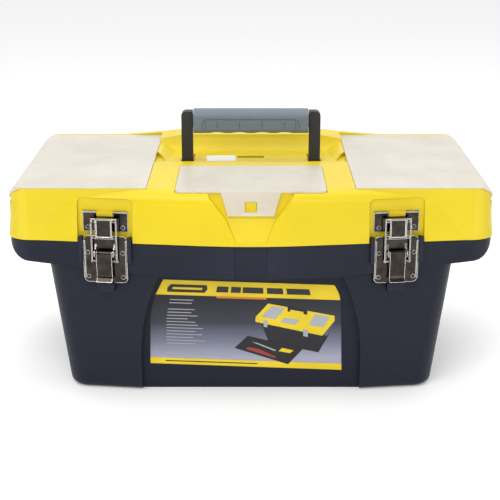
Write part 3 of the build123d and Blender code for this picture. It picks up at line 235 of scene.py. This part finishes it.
def film_gradient():
    """The label's field: near black at the top, grey low down, by height."""
    material, tree, principled = shader("label_field", (0.3, 0.3, 0.35), 0.32, Specular_IOR_Level=0.3)
    where = node(tree, "ShaderNodeTexCoord")
    axes = node(tree, "ShaderNodeSeparateXYZ")
    tree.links.new(where.outputs["Object"], axes.inputs["Vector"])
    height = span(tree, axes.outputs["Z"], 0, 1, label_low.z + 0.014, label_high.z - 0.022)
    ramp = node(tree, "ShaderNodeValToRGB")
    tree.links.new(height, ramp.inputs["Fac"])
    stops = (
        (0.0, (0.36, 0.37, 0.46)),
        (0.28, (0.17, 0.18, 0.25)),
        (0.6, (0.038, 0.042, 0.058)),
        (1.0, (0.016, 0.016, 0.022)),
    )
    ramp.color_ramp.elements[0].position = stops[0][0]
    ramp.color_ramp.elements[0].color = (*stops[0][1], 1)
    ramp.color_ramp.elements[1].position = stops[-1][0]
    ramp.color_ramp.elements[1].color = (*stops[-1][1], 1)
    for position, color in stops[1:-1]:
        ramp.color_ramp.elements.new(position).color = (*color, 1)
    tree.links.new(ramp.outputs["Color"], principled.inputs["Base Color"])
    bump(tree, principled, noise(tree, 26.0, 2.0).outputs["Fac"], 0.5, 0.0006)
    return material


# edges of the label: (down, x) from top to bottom, inside its curved flanks, and its corner heights
LEFT_EDGE = ((0.0, -0.088), (0.21, -0.0975), (0.44, -0.102), (1.0, -0.103))
RIGHT_EDGE = ((0.0, 0.084), (0.10, 0.0888), (0.22, 0.0912), (1.0, 0.093))
LEFT_HEIGHTS = (0.118, 0.027)
RIGHT_HEIGHTS = (0.112, 0.0194)


def edge_point(edge, heights, down):
    """Place on one side edge of the label, down 0..1 from the top."""
    for (first, first_x), (second, second_x) in zip(edge, edge[1:]):
        if down <= second:
            share = (down - first) / (second - first)
            height = heights[0] + (heights[1] - heights[0]) * down
            return Vector((first_x + (second_x - first_x) * share, height))
    return Vector((edge[-1][1], heights[1]))


def label_point(across, down):
    """Place on the label: across 0..1 from the left, down 0..1 from the top."""
    return edge_point(LEFT_EDGE, LEFT_HEIGHTS, down).lerp(edge_point(RIGHT_EDGE, RIGHT_HEIGHTS, down), across)


def print_area(name, outline, material, layer):
    """One flat printed area, a thin raised film whose outline is given across and down the label."""
    mesh = bmesh.new()
    steps = []
    for first, second in zip(outline, outline[1:] + outline[:1]):
        for i in range(6):
            t = i / 6
            steps.append((first[0] * (1 - t) + second[0] * t, first[1] * (1 - t) + second[1] * t))
    front_y = LABEL_Y - 0.00006 * layer
    ring = []
    for across, down in steps:
        place = label_point(across, down)
        ring.append(mesh.verts.new((place.x, front_y, place.y)))
    face = mesh.faces.new(ring)
    face.normal_update()
    if face.normal.y > 0:
        face.normal_flip()
    extruded = bmesh.ops.extrude_face_region(mesh, geom=[face])
    back = [v for v in extruded["geom"] if isinstance(v, bmesh.types.BMVert)]
    bmesh.ops.translate(mesh, verts=back, vec=(0, 0.00005, 0))
    bmesh.ops.recalc_face_normals(mesh, faces=mesh.faces)
    data = bpy.data.meshes.new(name)
    mesh.to_mesh(data)
    mesh.free()
    piece = bpy.data.objects.new(name, data)
    bpy.context.scene.collection.objects.link(piece)
    data.materials.append(material)
    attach(piece, "tub")
    return piece


label_mesh = nodes["front_label"].data
label_mesh.materials.clear()
label_mesh.materials.append(film_gradient())
INK_YELLOW = film("ink_yellow", (0.84, 0.62, 0.02))
INK_DARK = film("ink_dark", (0.03, 0.028, 0.025))
INK_ORANGE = film("ink_orange", (0.75, 0.22, 0.02))
INK_WHITE = film("ink_white", (0.42, 0.42, 0.47))
INK_BLACK = film("ink_black", (0.018, 0.018, 0.022))
INK_PALE = film("ink_pale", (0.42, 0.45, 0.48))
INK_RED = film("ink_red", (0.35, 0.05, 0.03))


def bar(left, top, right, low):
    """A four-cornered outline."""
    return [(left, top), (right, top), (right, low), (left, low)]


TOP_BAND = 0.175
LOW_BAND = 0.925
print_area("label_band_top", bar(0.0, 0.0, 1.0, TOP_BAND), INK_YELLOW, 1)
print_area("label_band_low", bar(0.0, LOW_BAND, 1.0, 1.0), INK_YELLOW, 1)
print_area("label_orange_rule", bar(0.33, TOP_BAND, 0.60, TOP_BAND + 0.022), INK_ORANGE, 1)
badge = [(0.055, 0.05), (0.26, 0.05), (0.27, 0.095), (0.26, 0.14), (0.055, 0.14), (0.045, 0.095)]
print_area("label_badge", badge, INK_DARK, 2)
print_area("label_badge_bar", bar(0.075, 0.083, 0.24, 0.107), INK_YELLOW, 3)
TITLE_SPANS = ((0.32, 0.385), (0.40, 0.455), (0.465, 0.58), (0.60, 0.69), (0.71, 0.84))
for index, (left, right) in enumerate(TITLE_SPANS):
    print_area(f"label_title_{index}", bar(left, 0.06, right, 0.128), INK_DARK, 2)
# bars that stand for the lines of text; a width of 0 leaves a gap
LINE_LEFT = 0.085
LINE_TOP = 0.225
LINE_STEP = 0.037
LINE_HEIGHT = 0.010
LINE_WIDTHS = (0.125, 0.12, 0.0, 0.14, 0.125, 0.16, 0.11, 0.15, 0.165, 0.19, 0.15, 0.185, 0.14, 0.20, 0.15)
for index, width in enumerate(LINE_WIDTHS):
    down = LINE_TOP + LINE_STEP * index
    if width:
        line = bar(LINE_LEFT, down, LINE_LEFT + width, down + LINE_HEIGHT)
        print_area(f"label_line_{index}", line, INK_WHITE, 1)
SMALL_LINES = ((0.08, 0.2, 0.86, INK_WHITE), (0.26, 0.42, 0.875, INK_WHITE), (0.08, 0.56, 0.955, INK_DARK))
for index, (left, right, down, ink) in enumerate(SMALL_LINES):
    print_area(f"label_small_{index}", bar(left, down, right, down + 0.012), ink, 2)

# the box and its tray drawn on the label
PICTURE = (
    ("picture_tub", INK_BLACK, 1, (
        (0.575, 0.44), (0.93, 0.60), (0.945, 0.52), (0.88, 0.80),
        (0.62, 0.70),
    )),
    ("picture_lid", INK_YELLOW, 2, (
        (0.61, 0.24), (0.965, 0.36), (0.965, 0.42), (0.90, 0.60),
        (0.55, 0.46), (0.55, 0.40),
    )),
    ("picture_cover_left", INK_PALE, 3, (
        (0.63, 0.27), (0.70, 0.29), (0.655, 0.42), (0.58, 0.40),
    )),
    ("picture_cover_right", INK_PALE, 3, (
        (0.86, 0.35), (0.94, 0.375), (0.905, 0.50), (0.83, 0.475),
    )),
    ("picture_handle", INK_BLACK, 3, (
        (0.715, 0.27), (0.82, 0.30), (0.82, 0.36), (0.80, 0.35),
        (0.80, 0.325), (0.73, 0.305), (0.73, 0.33), (0.715, 0.325),
    )),
    ("picture_cover_middle", INK_PALE, 3, (
        (0.70, 0.40), (0.78, 0.42), (0.76, 0.48), (0.68, 0.46),
    )),
    ("picture_latch_left", INK_WHITE, 4, (
        (0.593, 0.435), (0.613, 0.44), (0.613, 0.52), (0.593, 0.515),
    )),
    ("picture_latch_right", INK_WHITE, 4, (
        (0.80, 0.53), (0.825, 0.54), (0.825, 0.62), (0.80, 0.61),
    )),
    ("picture_tray", INK_BLACK, 3, (
        (0.51, 0.63), (0.80, 0.76), (0.72, 0.955), (0.44, 0.78),
    )),
    ("picture_tool_red", INK_RED, 4, (
        (0.51, 0.76), (0.57, 0.785), (0.66, 0.87), (0.65, 0.885),
        (0.55, 0.82), (0.50, 0.79),
    )),
    ("picture_tool_yellow", INK_YELLOW, 4, (
        (0.69, 0.76), (0.75, 0.785), (0.73, 0.82), (0.67, 0.80),
    )),
    ("picture_tool_steel", INK_PALE, 4, (
        (0.53, 0.70), (0.56, 0.71), (0.66, 0.79), (0.65, 0.80),
    )),
)
for name, ink, layer, shape in PICTURE:
    print_area(name, list(shape), ink, layer)


# ---------------------------------------------------------------- studio
def studio():
    """A pale floor, a room that darkens towards the camera, and soft lights in front and above."""
    scene = bpy.context.scene
    world = bpy.data.worlds.new("studio")
    scene.world = world
    world.use_nodes = True
    tree = world.node_tree
    background = tree.nodes["Background"]
    where = node(tree, "ShaderNodeTexCoord")
    axes = node(tree, "ShaderNodeSeparateXYZ")
    tree.links.new(where.outputs["Generated"], axes.inputs["Vector"])
    room = span(tree, axes.outputs["Y"], 0.0, 1.0, -0.75, 0.05)
    walls = mix_colors(tree, room, (0.16, 0.16, 0.17), (1.0, 1.0, 1.0))
    tree.links.new(walls, background.inputs["Color"])
    background.inputs["Strength"].default_value = 0.95
    bpy.ops.mesh.primitive_grid_add(x_subdivisions=2, y_subdivisions=2, size=12, location=(0, 0, -0.0002))
    floor = bpy.context.object
    floor.name = "floor"
    glow = {"Emission_Color": (1, 1, 1, 1), "Emission_Strength": 0.16}
    material, _, _ = shader("floor", (0.94, 0.94, 0.94), 0.55, **glow)
    floor.data.materials.append(material)
    places = (
        ("key", (-0.5, -1.2, 1.5), 1.2, 17.0),
        ("front", (0.6, -1.8, 0.9), 0.9, 7.0),
        ("top", (0.2, 0.3, 1.8), 1.6, 10.0),
    )
    for name, place, size, power in places:
        lamp = bpy.data.lights.new(name, "AREA")
        lamp.size = size
        lamp.energy = power
        holder = bpy.data.objects.new(name, lamp)
        holder.location = place
        direction = Vector((0, 0, 0.12)) - Vector(place)
        holder.rotation_euler = direction.to_track_quat("-Z", "Y").to_euler()
        scene.collection.objects.link(holder)


def camera():
    """The camera in front of the box, looking down about 18 degrees."""
    data = bpy.data.cameras.new("camera")
    data.lens = 87.4
    data.sensor_width = 36.0
    data.shift_x = -0.0018
    data.clip_end = 50
    holder = bpy.data.objects.new("camera", data)
    holder.location = (0.0, -1.260, 0.525)
    holder.rotation_euler = (math.radians(90 - 18.14), 0, 0)
    bpy.context.scene.collection.objects.link(holder)
    bpy.context.scene.camera = holder


studio()
camera()
bpy.context.scene.view_settings.view_transform = "Standard"
